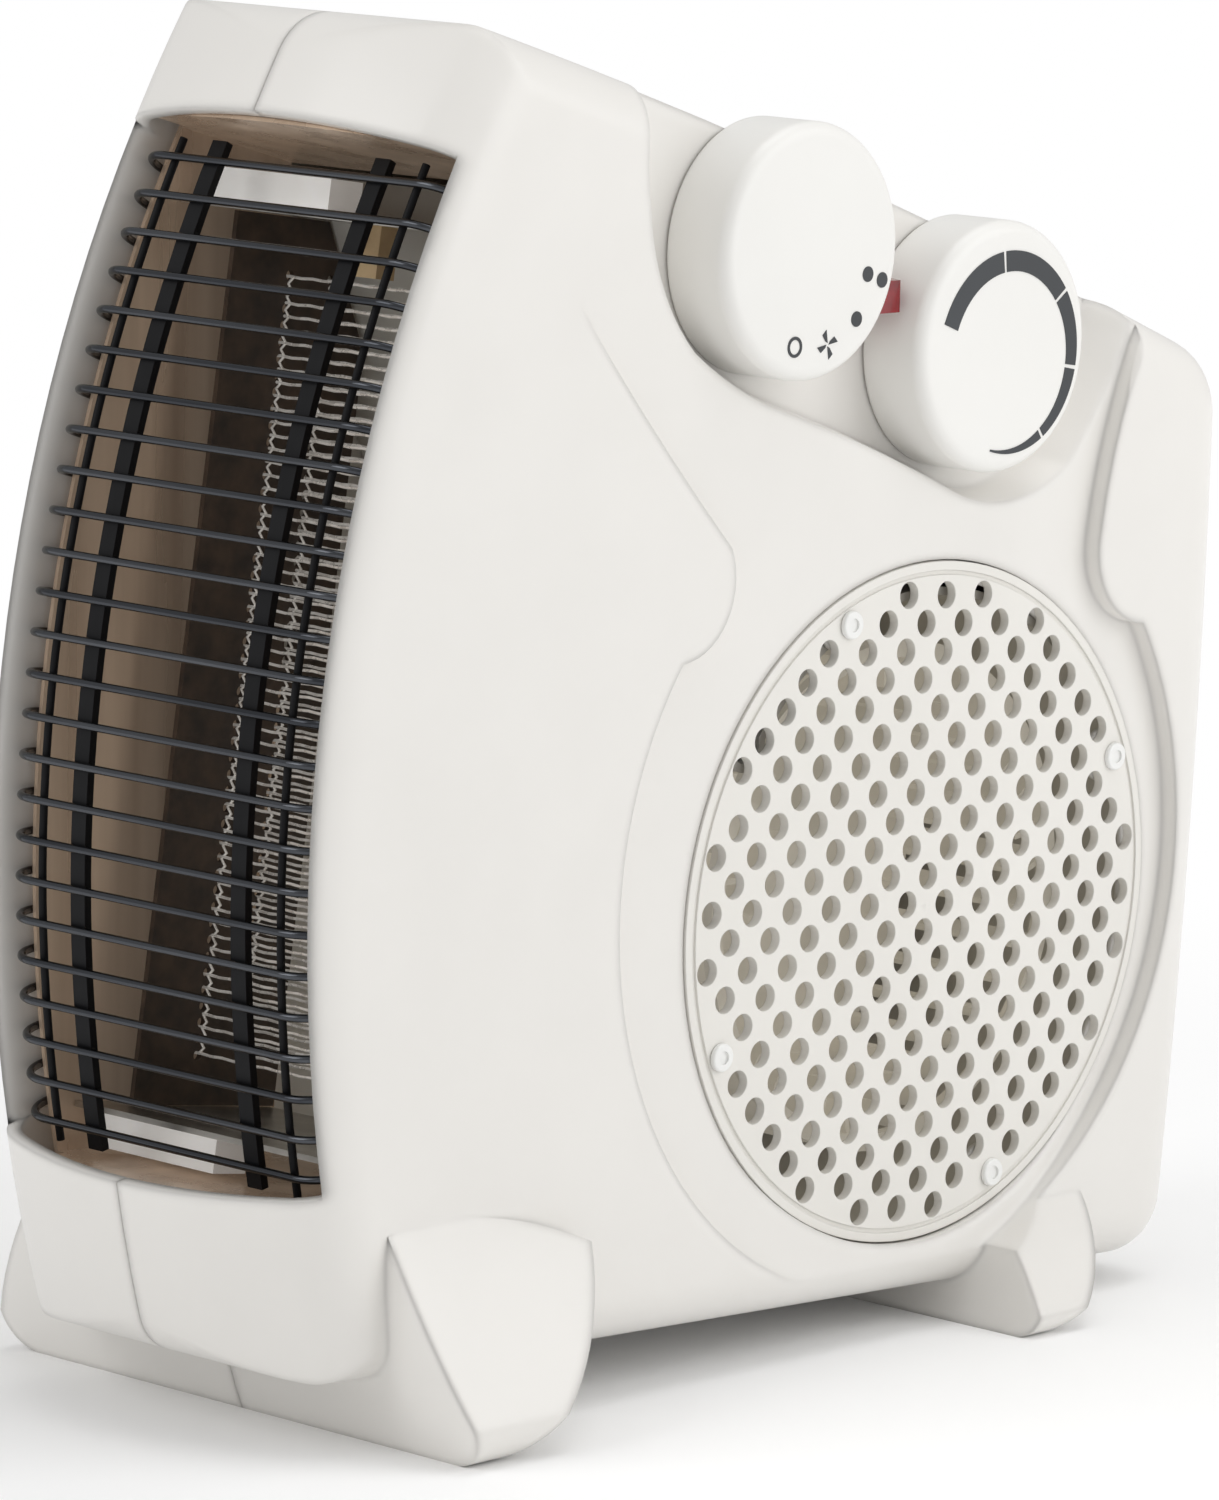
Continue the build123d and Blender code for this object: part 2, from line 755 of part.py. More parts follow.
def heating_wire(depth):
    """One circuit as a single tube that runs to and fro between the boards."""
    rises = pass_rises()
    plane = element_plane(0)
    edges = []
    end = heat_wire_turn_x
    side = -1
    for index, rise in enumerate(rises):
        start = plane.from_local_coords(Vector(depth, rise, side * end))
        stop = plane.from_local_coords(Vector(depth, rise, -side * end))
        edges.append(Line(start, stop))
        side = -side
        if index < len(rises) - 1:
            half_step = (rises[index + 1] - rise) / 2
            middle = plane.from_local_coords(Vector(depth, rise + half_step, side * (end + half_step)))
            following = plane.from_local_coords(Vector(depth, rises[index + 1], side * end))
            edges.append(ThreePointArc(stop, middle, following))
    section = Plane(origin=edges[0] @ 0, z_dir=(1, 0, 0)) * Circle(heat_wire_radius)
    return sweep(section, path=Wire(edges))


def element_bracket(rise, depth_high):
    """Cross plate that holds the boards apart and reaches the liner."""
    return leaning_box((-plate_half, plate_half), (-plate_front, depth_high), (rise, rise + plate_thick))


def ceramic_block(rise):
    """White bar at one end of the element."""
    return leaning_box((-block_length, 0), (-plate_front, -plate_front + block_depth),
                       (rise, rise + block_height))


def thermal_cutout():
    """Small cut-out that hangs under the upper plate."""
    top = board_up + seat_gap
    return leaning_box((cutout_x - cutout_width / 2, cutout_x + cutout_width / 2),
                       (cutout_depth - cutout_thick / 2, cutout_depth + cutout_thick / 2),
                       (top - cutout_height, top))


def fan_scroll():
    """Spiral wall round the fan, from the liner floor round to the liner ceiling."""
    floor_end = (liner_rear_y + 0.5, liner_floor(liner_rear_y) - scroll_thick / 2)
    ceiling_end = (liner_rear_y + 1.5, liner_ceiling(liner_rear_y) - scroll_thick)
    low = around_fan(scroll_low_radius, -90)
    rear = around_fan(scroll_rear_radius, 0)
    top = around_fan(scroll_top_radius, 90)
    lip = around_fan(scroll_tongue_radius + 1.0, 140)
    nose = around_fan(scroll_tongue_radius + 1.2, 147)
    turn_end = around_fan(scroll_tongue_radius + 7.0, 146)
    low_rear = around_fan((scroll_low_radius + scroll_rear_radius) / 2, -45)
    top_rear = around_fan((scroll_rear_radius + scroll_top_radius) / 2, 45)
    top_front = around_fan((scroll_top_radius + scroll_tongue_radius) / 2 + 0.5, 115)
    edges = [ThreePointArc(floor_end, (0, 23.5), low), ThreePointArc(low, low_rear, rear),
             ThreePointArc(rear, top_rear, top), ThreePointArc(top, top_front, lip),
             ThreePointArc(lip, nose, turn_end), Line(turn_end, ceiling_end)]
    strip = trace(Wire(edges), line_width=scroll_thick)
    scroll = slab(strip, -inner_half + scroll_gap, dish_floor_x - wall - scroll_gap)
    hole = Pos(motor_lead_x, motor_lead_y, top[1]) * Cylinder(lead_radius + lead_hole_gap, 4 * scroll_thick)
    return scroll - hole


def impeller():
    """Forward curved wheel: back plate, blades, front ring and hub."""
    inner = fan_radius - blade_length - 0.6
    start = (inner, 0)
    end = (fan_radius - 0.6, 3.0)
    blade = trace(ThreePointArc(start, ((inner + end[0]) / 2, 0.4), end), line_width=blade_thick)
    blades = Sketch() + [Rot(0, 0, 360 / fan_blades * index) * blade for index in range(fan_blades)]
    centre = Pos(disc_y, disc_z)
    plate_front_x = fan_back_x + fan_plate
    wheel = slab(centre * Circle(fan_radius), fan_back_x, plate_front_x)
    wheel += slab(centre * blades, plate_front_x - 0.2, fan_front_x - fan_ring_thick + 0.2)
    ring = Circle(fan_radius) - Circle(fan_radius - fan_ring_width)
    wheel += slab(centre * ring, fan_front_x - fan_ring_thick, fan_front_x)
    wheel += rod_along_x(hub_radius, disc_y, disc_z, hub_back_x, hub_front_x)
    return wheel - rod_along_x(shaft_radius + spindle_fit, disc_y, disc_z, -60, hub_front_x - 1)


def fan_shaft():
    """Steel shaft of the fan."""
    return rod_along_x(shaft_radius, disc_y, disc_z, shaft_back_x, hub_front_x - 1.2)


def motor_rotor():
    """Squirrel cage rotor on the shaft."""
    low = stack_back_x - rotor_overhang
    high = stack_back_x + stack_thick + rotor_overhang
    rotor = rod_along_x(rotor_radius, disc_y, disc_z, low, high)
    return rotor - rod_along_x(shaft_radius + spindle_fit, disc_y, disc_z, low - 5, high + 5)


def motor_stack():
    """Laminated frame with the rotor bore and the coil window."""
    high = disc_z + stack_high
    face = outline([((disc_y - stack_width / 2, disc_z - stack_low), None),
                    ((disc_y + stack_width / 2, disc_z - stack_low), None),
                    ((disc_y + stack_width / 2, high), None), ((disc_y - stack_width / 2, high), None)])
    face -= Pos(disc_y, disc_z) * Circle(rotor_radius + rotor_air_gap)
    window_height = stack_high - stack_leg - window_low
    window_z = disc_z + window_low + window_height / 2
    face -= Pos(disc_y, window_z) * Rectangle(stack_width - 2 * stack_leg, window_height)
    for side in (-1, 1):
        face -= Pos(disc_y + side * motor_screw_pitch / 2, disc_z) * Circle(motor_screw_radius + 0.2)
    return slab(face, stack_back_x, stack_back_x + stack_thick)


def motor_coil():
    """Winding on the upper leg of the stack."""
    leg_low = disc_z + stack_high - stack_leg
    leg_high = disc_z + stack_high
    half = stack_width / 2 - stack_leg - 1
    y = (disc_y - half, disc_y + half)
    thick = coil_thick + coil_gap
    whole = block((stack_back_x - thick, stack_back_x + stack_thick + thick), y,
                  (leg_low - thick, leg_high + thick))
    whole = fillet(whole.edges().filter_by(Axis.Y), 3)
    return whole - block((stack_back_x - coil_gap, stack_back_x + stack_thick + coil_gap),
                         (y[0] - 1, y[1] + 1), (leg_low - coil_gap, leg_high + coil_gap))


def motor_bracket(face_x, outward):
    """Bearing bracket against one side of the stack, outward is -1 to the left and 1 to the right."""
    def span(low, high):
        return (face_x + outward * low, face_x + outward * high)

    def ordered(pair):
        return (min(pair), max(pair))
    near, far = ordered(span(bracket_standoff, bracket_standoff + bracket_thick))
    plate_face = Pos(disc_y, disc_z) * SlotCenterToCenter(motor_screw_pitch, bracket_width)
    bracket = slab(plate_face, near, far)
    hub_low, hub_high = ordered(span(bracket_standoff, bracket_standoff + bearing_length))
    bracket += rod_along_x(bearing_radius, disc_y, disc_z, hub_low, hub_high)
    foot_low, foot_high = ordered(span(0, bracket_standoff))
    for side in (-1, 1):
        bracket += rod_along_x(motor_head_radius + 0.5, disc_y + side * motor_screw_pitch / 2, disc_z,
                               foot_low, foot_high)
    for side in (-1, 1):
        y = disc_y + side * motor_screw_pitch / 2
        bracket -= rod_along_x(motor_screw_radius + 0.2, y, disc_z, -60, 60)
    return bracket - rod_along_x(shaft_radius + bearing_gap, disc_y, disc_z, -60, 60)


def motor_screws():
    """Two long screws through both brackets and the stack into the shell posts."""
    head_x = stack_back_x + stack_thick + bracket_standoff + bracket_thick
    screws = []
    for side in (-1, 1):
        y = disc_y + side * motor_screw_pitch / 2
        shank = rod_along_x(motor_screw_radius - 0.05, y, disc_z, rear_bracket_x() - 3.0, head_x)
        screws.append(shank + rod_along_x(motor_head_radius, y, disc_z, head_x, head_x + motor_head_height))
    return Compound(children=screws)


def control_body(y, z):
    """Square control body against the back of the shelf, with its spindle bore."""
    face = shelf_x - wall
    half = switch_side / 2
    body = block((face - switch_depth, face), (y - half, y + half), (z - half, z + half))
    body = fillet(body.edges().filter_by(Axis.X), 2)
    return body - rod_along_x(spindle_radius + bearing_gap, y, z, face - spindle_depth, face + 1)


def spindle(y, z):
    """Round spindle from the control body into the knob."""
    return rod_along_x(spindle_radius, y, z, shelf_x - wall - spindle_depth + 0.3, shelf_x + spindle_reach)


def knob(y, z):
    """Round knob, hollow behind its face, with a hub for the spindle."""
    low = shelf_x + knob_gap
    high = low + knob_height
    whole = rod_along_x(knob_radius, y, z, low, high)
    whole = fillet(whole.faces().sort_by(Axis.X)[-1].edges(), knob_round)
    whole -= rod_along_x(knob_radius - knob_wall, y, z, low - 1, high - knob_wall)
    whole += rod_along_x(knob_hub_radius, y, z, low, high - knob_wall)
    return whole - rod_along_x(spindle_radius + spindle_fit, y, z, low - 1, shelf_x + spindle_reach + 0.2)


def pilot_lens():
    """Red lens: tapered window, flange under the shelf and a socket for the lamp."""
    inside = shelf_x - wall
    place = Pos(lens_y, lens_z)
    window = slab(place * Rectangle(lens_side, lens_side), inside - lens_flange, shelf_x + 0.5)
    tip = extrude(side_plane(shelf_x + 0.5) * (place * Rectangle(lens_side, lens_side)),
                  amount=lens_height - 0.5, taper=lens_taper_deg)
    flange_side = lens_side + 3
    flange = slab(place * Rectangle(flange_side, flange_side), inside - lens_flange, inside - 0.05)
    socket = rod_along_x(neon_radius + 1.2, lens_y, lens_z, inside - 7, inside - lens_flange)
    lens = window + tip + flange + socket
    return lens - rod_along_x(neon_radius + 0.2, lens_y, lens_z, inside - 10, shelf_x)


def neon_lamp():
    """Small glass lamp in the socket of the lens."""
    high = shelf_x - 0.5
    lamp = rod_along_x(neon_radius, lens_y, lens_z, high - neon_length, high)
    return fillet(lamp.faces().sort_by(Axis.X)[-1].edges(), 1.5)


def cord_inlet_bush():
    """Bush in the rear wall, a flange on each side of it and the bore for the mains lead."""
    def ring(radius, y_low, y_high):
        plane = Plane(origin=(0, y_low, inlet_z), x_dir=(1, 0, 0), z_dir=(0, 1, 0))
        return extrude(plane * Circle(radius), amount=y_high - y_low)
    neck_low = inlet_y - bush_neck
    bush = ring(bush_radius, neck_low - bush_flange, inlet_y + bush_flange)
    bush += ring(bush_flange_radius, inlet_y, inlet_y + bush_flange)
    bush += ring(bush_flange_radius, neck_low - bush_flange, neck_low)
    return bush - ring(cord_bore_radius, neck_low - 10, inlet_y + 10)


def cord_clamp():
    """Bar that is screwed to two posts behind the inlet."""
    plate = block((clamp_x, clamp_x + clamp_thick), (clamp_y - clamp_width / 2, clamp_y + clamp_width / 2),
                  (inlet_z - clamp_length / 2, inlet_z + clamp_length / 2))
    plate = fillet(plate.edges().filter_by(Axis.X), 2)
    for side in (-1, 1):
        z = inlet_z + side * clamp_screw_pitch / 2
        plate -= rod_along_x(clamp_screw_radius + 0.2, clamp_y, z, 0, 20)
    return plate


def clamp_screws():
    """Two screws of the clamp bar."""
    head_x = clamp_x + clamp_thick
    screws = []
    for side in (-1, 1):
        z = inlet_z + side * clamp_screw_pitch / 2
        shank = rod_along_x(clamp_screw_radius - 0.05, clamp_y, z, clamp_x - 10, head_x)
        screws.append(shank + rod_along_x(clamp_screw_radius * 2, clamp_y, z, head_x, head_x + 1.6))
    return Compound(children=screws)


def terminal_block():
    """Two pole block on its post."""
    half = [size / 2 for size in terminal_size]
    body = block((terminal_x - half[0], terminal_x + half[0]), (terminal_y - half[1], terminal_y + half[1]),
                 (terminal_z - half[2], terminal_z + half[2]))
    for x in (terminal_x - half[0] / 2, terminal_x + half[0] / 2):
        plane = Plane(origin=(x, terminal_y, terminal_z + half[2]), x_dir=(1, 0, 0), z_dir=(0, 0, -1))
        body -= extrude(plane * Circle(2.0), amount=4)
    return body


def lead(points):
    """Insulated lead along straight runs joined by arcs as large as the runs allow."""
    radii = []
    for index in range(1, len(points) - 1):
        before = Vector(*points[index]) - Vector(*points[index - 1])
        after = Vector(*points[index + 1]) - Vector(*points[index])
        half_turn = math.radians(before.get_angle(after)) / 2
        radii.append(0.45 * min(before.length, after.length) / math.tan(half_turn))
    path = FilletPolyline(*points, radius=radii)
    section = Plane(origin=points[0], z_dir=path % 0) * Circle(lead_radius)
    print("lead radii", [round(radius, 1) for radius in radii])
    return sweep(section, path=path)


def shell_screws():
    """Five screws that close the body from the plain side."""
    head_x = -half_width + screw_sink
    screws = []
    for y, z in screw_places:
        shank = rod_along_x(screw_radius, y, z, head_x, screw_reach)
        screws.append(shank + rod_along_x(screw_head_radius, y, z, head_x, head_x + screw_head_height))
    return Compound(children=screws)


def all_parts():
    """Every node by name."""
    stack_front = stack_back_x + stack_thick
    mode = (mode_knob_y, mode_knob_z)
    thermostat = (thermostat_knob_y, thermostat_knob_z)
    terminal_front = terminal_y - terminal_size[1] / 2
    control_back = shelf_x - wall - switch_depth
    coil_high = disc_z + stack_high + coil_thick + coil_gap
    upper = board_up + seat_gap
    lower = -board_down - seat_gap - plate_thick
    return {
        "right_shell": right_shell(),
        "left_shell": left_shell(),
        "intake_grille": intake_grille(),
        "grille_rivets": grille_rivets(),
        "guard_wires": guard_wires(),
        "guard_uprights": guard_uprights(),
        "duct_liner": duct_liner(),
        "mica_board_left": mica_board(-1),
        "mica_board_right": mica_board(1),
        "heating_wire_front": heating_wire(front_row),
        "heating_wire_rear": heating_wire(rear_row),
        "element_bracket_upper": element_bracket(upper, board_cut_depth),
        "element_bracket_lower": element_bracket(lower, board_depth),
        "ceramic_block_upper": ceramic_block(upper + plate_thick),
        "ceramic_block_lower": ceramic_block(lower - block_height),
        "thermal_cutout": thermal_cutout(),
        "fan_scroll": fan_scroll(),
        "impeller": impeller(),
        "fan_shaft": fan_shaft(),
        "motor_rotor": motor_rotor(),
        "motor_stack": motor_stack(),
        "motor_coil": motor_coil(),
        "motor_bracket_rear": motor_bracket(stack_back_x, -1),
        "motor_bracket_front": motor_bracket(stack_front, 1),
        "motor_screws": motor_screws(),
        "mode_switch": control_body(*mode),
        "mode_spindle": spindle(*mode),
        "mode_knob": knob(*mode),
        "thermostat": control_body(*thermostat),
        "thermostat_spindle": spindle(*thermostat),
        "thermostat_knob": knob(*thermostat),
        "pilot_lens": pilot_lens(),
        "neon_lamp": neon_lamp(),
        "cord_inlet_bush": cord_inlet_bush(),
        "cord_clamp": cord_clamp(),
        "clamp_screws": clamp_screws(),
        "terminal_block": terminal_block(),
        "lead_thermostat": lead([(-6, terminal_front, 144), (-6, 69, 144), (-5, 60, 151), (-3, 54, 161),
                                 (3, 53, 171), (control_back, 53, 171)]),
        "lead_switch": lead([(-11, terminal_front, 144), (-11, 64, 144), (-11, 42, 160), (-8, 20, 177),
                             (2, 3, 194), (control_back, 3, 194)]),
        "lead_motor": lead([(motor_lead_x, motor_lead_y, coil_high), (motor_lead_x, motor_lead_y, 138),
                            (-19, 53, 146), (-17, 66, 148), (-17, terminal_front, 148)]),
        "shell_screws": shell_screws(),
    }


def main():
    """Write one STEP file for each node."""
    os.makedirs("parts", exist_ok=True)
    step = pass_rises()[1] - pass_rises()[0]
    print("least gap between passes of the heating wire", round(step - 2 * heat_wire_radius, 2))
    front_y = polar(nose_radius, outlet_low_deg)[0]
    centred = Pos(0, -(half_depth + front_y) / 2, 0)
    for name, drawn in all_parts().items():
        solid = centred * drawn
        solid.label = name
        export_step(solid, f"parts/{name}.step")
        print(name, len(solid.solids()), round(solid.volume))


main()
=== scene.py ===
import logging
import math
from dataclasses import dataclass
from enum import Enum

import bmesh
import bpy
from mathutils import Matrix, Vector


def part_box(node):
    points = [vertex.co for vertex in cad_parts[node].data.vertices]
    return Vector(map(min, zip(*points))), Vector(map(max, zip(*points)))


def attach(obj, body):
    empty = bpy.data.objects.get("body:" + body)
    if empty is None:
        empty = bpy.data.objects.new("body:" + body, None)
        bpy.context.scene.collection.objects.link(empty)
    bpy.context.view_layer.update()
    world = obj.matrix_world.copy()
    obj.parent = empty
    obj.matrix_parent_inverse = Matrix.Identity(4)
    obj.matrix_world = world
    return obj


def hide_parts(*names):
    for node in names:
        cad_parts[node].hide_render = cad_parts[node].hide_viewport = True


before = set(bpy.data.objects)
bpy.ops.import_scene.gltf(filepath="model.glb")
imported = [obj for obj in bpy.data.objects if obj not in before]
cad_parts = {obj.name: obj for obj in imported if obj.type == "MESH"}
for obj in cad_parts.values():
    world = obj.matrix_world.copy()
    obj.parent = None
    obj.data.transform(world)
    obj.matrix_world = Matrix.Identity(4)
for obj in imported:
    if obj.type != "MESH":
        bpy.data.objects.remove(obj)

logging.basicConfig(level=logging.INFO, format="%(message)s")
LOG = logging.getLogger("fan_heater")
Spot = tuple[float, float]
Outline = list[Spot]
MM = 0.001

COAT_ROUGHNESS = 0.15
MOTTLE_DETAIL = 4.0
GRAIN_DETAIL = 2.0
RAMP_ENDS = (0.3, 0.7)
BUMP_DEPTH = 0.1 * MM
EDGE_SAMPLES = 8
TUBE_SIDES = 5


class Body(Enum):
    """The bodies of the frame that pieces ride on."""

    CASING = "body"
    MODE = "mode_control"
    THERMOSTAT = "thermostat_control"


class Grain(Enum):
    """How the bump of a surface runs."""

    FINE = (1.0, 1.0, 1.0)
    ALONG_X = (0.04, 1.0, 1.0)
    UPRIGHT = (1.0, 1.0, 0.05)


@dataclass(frozen=True)
class Finish:
    """A surface finish with mottled colour, uneven gloss, a bump that follows the grain and, on some, a
    painted glow that lifts a part out of its shade.
    """

    name: str
    colour: tuple[float, float, float]
    shade: tuple[float, float, float]
    roughness: tuple[float, float] = (0.35, 0.45)
    metallic: float = 0.0
    scale: float = 40.0
    bump: float = 0.04
    bump_scale: float = 1800.0
    soft_edge: float = 0.0
    coat: float = 0.0
    specular: float = 0.5
    transmission: float = 0.0
    # Strength of a painted glow: emission that lifts a part that is no lamp out of its shade.
    painted_glow: float = 0.0
    grain: Grain = Grain.FINE

    def build(self) -> bpy.types.Material:
        """Builds the node material.

        Returns:
            The new material.
        """
        material = bpy.data.materials.new(self.name)
        material.use_nodes = True
        nodes = material.node_tree.nodes
        links = material.node_tree.links
        shader = nodes["Principled BSDF"]
        shader.inputs["Metallic"].default_value = self.metallic
        shader.inputs["Specular IOR Level"].default_value = self.specular
        shader.inputs["Coat Weight"].default_value = self.coat
        shader.inputs["Coat Roughness"].default_value = COAT_ROUGHNESS
        shader.inputs["Transmission Weight"].default_value = self.transmission
        place = nodes.new("ShaderNodeTexCoord")
        mapping = nodes.new("ShaderNodeMapping")
        mapping.inputs["Scale"].default_value = self.grain.value
        links.new(place.outputs["Object"], mapping.inputs["Vector"])
        mottle = nodes.new("ShaderNodeTexNoise")
        mottle.inputs["Scale"].default_value = self.scale
        mottle.inputs["Detail"].default_value = MOTTLE_DETAIL
        links.new(mapping.outputs["Vector"], mottle.inputs["Vector"])
        ramp = nodes.new("ShaderNodeValToRGB")
        for stop, position, colour in zip(ramp.color_ramp.elements, RAMP_ENDS, (self.shade, self.colour)):
            stop.position = position
            stop.color = (*colour, 1.0)
        links.new(mottle.outputs["Fac"], ramp.inputs["Fac"])
        links.new(ramp.outputs["Color"], shader.inputs["Base Color"])
        gloss = nodes.new("ShaderNodeMapRange")
        gloss.inputs["To Min"].default_value = self.roughness[0]
        gloss.inputs["To Max"].default_value = self.roughness[1]
        links.new(mottle.outputs["Fac"], gloss.inputs["Value"])
        links.new(gloss.outputs["Result"], shader.inputs["Roughness"])
        # Painted light: this emission makes a part that is no lamp glow, so it shows bright where it would
        # lie in shade.
        if self.painted_glow:
            links.new(ramp.outputs["Color"], shader.inputs["Emission Color"])
            shader.inputs["Emission Strength"].default_value = self.painted_glow
        self._add_bump(nodes, links, mapping, shader)
        return material

    def _add_bump(self, nodes: bpy.types.Nodes, links: bpy.types.NodeLinks,
                  mapping: bpy.types.Node, shader: bpy.types.Node) -> None:
        """Adds the fine bump, over softened edges where the finish has them.

        Args:
            nodes: The material's nodes.
            links: The material's links.
            mapping: The node that gives the pattern's place.
            shader: The shader that takes the normal.
        """
        grain = nodes.new("ShaderNodeTexNoise")
        grain.inputs["Scale"].default_value = self.bump_scale
        grain.inputs["Detail"].default_value = GRAIN_DETAIL
        links.new(mapping.outputs["Vector"], grain.inputs["Vector"])
        bump = nodes.new("ShaderNodeBump")
        bump.inputs["Strength"].default_value = self.bump
        bump.inputs["Distance"].default_value = BUMP_DEPTH
        links.new(grain.outputs["Fac"], bump.inputs["Height"])
        if self.soft_edge:
            soft = nodes.new("ShaderNodeBevel")
            soft.samples = EDGE_SAMPLES
            soft.inputs["Radius"].default_value = self.soft_edge
            links.new(soft.outputs["Normal"], bump.inputs["Normal"])
        links.new(bump.outputs["Normal"], shader.inputs["Normal"])


SHELL_WHITE = Finish("shell_white", (0.81, 0.79, 0.755), (0.79, 0.77, 0.735), (0.28, 0.36),
                     soft_edge=3.0 * MM, coat=0.15, bump=0.03)
GRILLE_WHITE = Finish("grille_white", (0.80, 0.78, 0.735), (0.775, 0.755, 0.71), (0.38, 0.46),
                      soft_edge=0.3 * MM)
KNOB_WHITE = Finish("knob_white", (0.85, 0.84, 0.81), (0.83, 0.82, 0.79), (0.32, 0.40),
                    soft_edge=0.6 * MM)
RIVET_WHITE = Finish("rivet_white", (0.86, 0.86, 0.84), (0.82, 0.82, 0.80), (0.25, 0.35), coat=0.3)
MARK_GREY = Finish("mark_grey", (0.045, 0.050, 0.056), (0.035, 0.038, 0.042), (0.45, 0.6))
WIRE_DARK = Finish("wire_dark", (0.095, 0.10, 0.11), (0.045, 0.048, 0.055), (0.15, 0.28),
                   metallic=1.0, scale=300.0, grain=Grain.ALONG_X)
BAR_BLACK = Finish("bar_black", (0.008, 0.008, 0.009), (0.004, 0.004, 0.005), (0.45, 0.60),
                   scale=120.0, specular=0.15)
# Painted reflection: the liner is polished sheet metal; its bronze-brown tone with upright streaks stands in
# for reflections of the brown boards and the bright surroundings, and it carries a painted glow.
LINER_PAINTED_REFLECTION = Finish("liner_painted_reflection", (0.62, 0.48, 0.36), (0.36, 0.26, 0.185), (0.20, 0.36),
                      metallic=0.55, scale=90.0, bump=0.3, bump_scale=90.0, painted_glow=0.11,
                      grain=Grain.UPRIGHT)
MICA_BROWN = Finish("mica_brown", (0.085, 0.055, 0.036), (0.030, 0.020, 0.015), (0.30, 0.60),
                    scale=220.0, bump=0.5, bump_scale=600.0)
# Painted light: the heating wire has a painted glow that lifts it out of the shade behind the guard.
HEATING_GREY = Finish("heating_grey", (0.94, 0.91, 0.86), (0.56, 0.52, 0.47), (0.20, 0.36),
                      metallic=0.6, scale=400.0, painted_glow=0.16)
# Painted light: the ceramic blocks have a painted glow that brightens them in the shade inside the outlet.
CERAMIC_WHITE = Finish("ceramic_white", (0.90, 0.89, 0.87), (0.84, 0.83, 0.80), (0.30, 0.45),
                       scale=150.0, bump=0.1, painted_glow=0.14)
CUTOUT_TAN = Finish("cutout_tan", (0.62, 0.45, 0.25), (0.48, 0.33, 0.18), (0.4, 0.6), scale=200.0)
ZINC = Finish("zinc", (0.60, 0.58, 0.54), (0.42, 0.40, 0.37), (0.25, 0.40), metallic=1.0, scale=150.0)
INNER_WHITE = Finish("inner_white", (0.62, 0.60, 0.55), (0.56, 0.54, 0.50), (0.40, 0.55))
LAMINATE = Finish("laminate", (0.30, 0.30, 0.31), (0.18, 0.18, 0.19), (0.35, 0.55),
                  metallic=0.9, scale=200.0)
COIL_TAPE = Finish("coil_tape", (0.62, 0.44, 0.12), (0.50, 0.34, 0.09), (0.35, 0.5), scale=120.0)
LAMP_RED = Finish("lamp_red", (0.36, 0.006, 0.014), (0.16, 0.003, 0.006), (0.12, 0.2),
                  scale=260.0, transmission=0.2, coat=0.5)
LAMP_GLASS = Finish("lamp_glass", (0.9, 0.8, 0.7), (0.85, 0.75, 0.65), (0.05, 0.1), transmission=0.9)
BUSH_GREY = Finish("bush_grey", (0.70, 0.69, 0.66), (0.62, 0.61, 0.58), (0.55, 0.7), bump=0.2)
SLEEVE = Finish("sleeve", (0.80, 0.78, 0.72), (0.62, 0.60, 0.55), (0.5, 0.7), scale=900.0, bump=0.4)
# Painted light: the impeller is given a pale cream tone and a painted glow so that it shows lit through the
# grille holes.
FAN_PAINTED_LIGHT = Finish("fan_painted_light", (0.66, 0.62, 0.54), (0.50, 0.47, 0.40), (0.40, 0.55), painted_glow=0.22)


def dress(name: str, material: bpy.types.Material) -> None:
    """Gives a carried-over node its material.

    Args:
        name: The node's name.
        material: The material that all its slots take.
    """
    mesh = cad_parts[name].data
    mesh.materials.clear()
    mesh.materials.append(material)
    LOG.info("dressed %s with %s", name, material.name)


def register(name: str, mesh: bpy.types.Mesh, material: bpy.types.Material, body: Body) -> bpy.types.Object:
    """Links a finished mesh and puts it on its body.

    Args:
        name: The new piece's name.
        mesh: Its mesh, with its place in it.
        material: Its material.
        body: The body it rides on.

    Returns:
        The new object.
    """
    piece = bpy.data.objects.new(name, mesh)
    bpy.context.scene.collection.objects.link(piece)
    mesh.materials.clear()
    mesh.materials.append(material)
    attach(piece, body.value)
    LOG.info("made %s", name)
    return piece


def middle(node: str) -> Vector:
    """Centre of a node's box."""
    low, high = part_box(node)
    return (low + high) / 2


def raised(outlines: list[Outline], centre: Spot, base_x: float, height: float,
           name: str) -> bpy.types.Mesh:
    """Closed thin plates that lie on a face across X.

    Args:
        outlines: Convex outlines in (Y, Z) about the centre, counter-clockwise seen from +X.
        centre: The centre's (Y, Z).
        base_x: Where the plates start, a little inside the face.
        height: How thick they are.
        name: The mesh's name.

    Returns:
        The mesh.
    """
    shape = bmesh.new()
    for points in outlines:
        low = [shape.verts.new((base_x, centre[0] + y, centre[1] + z)) for y, z in points]
        high = [shape.verts.new((base_x + height, v.co.y, v.co.z)) for v in low]
        count = len(points)
        for index in range(count):
            following = (index + 1) % count
            shape.faces.new((low[index], low[following], high[following], high[index]))
        shape.faces.new(high)
        shape.faces.new(list(reversed(low)))
    bmesh.ops.recalc_face_normals(shape, faces=shape.faces)
    mesh = bpy.data.meshes.new(name)
    shape.to_mesh(mesh)
    shape.free()
    return mesh


def spot(radius: float, degrees: float) -> Spot:
    """Point (Y, Z) at a radius and an angle counted from the rear and upward."""
    turn = math.radians(degrees)
    return (radius * math.cos(turn), radius * math.sin(turn))


def moved(outline: Outline, by: Spot) -> Outline:
    """Outline shifted to another place."""
    return [(y + by[0], z + by[1]) for y, z in outline]


def dot(radius: float, sides: int) -> Outline:
    """Round outline about the centre."""
    return [spot(radius, 360 / sides * index) for index in range(sides)]


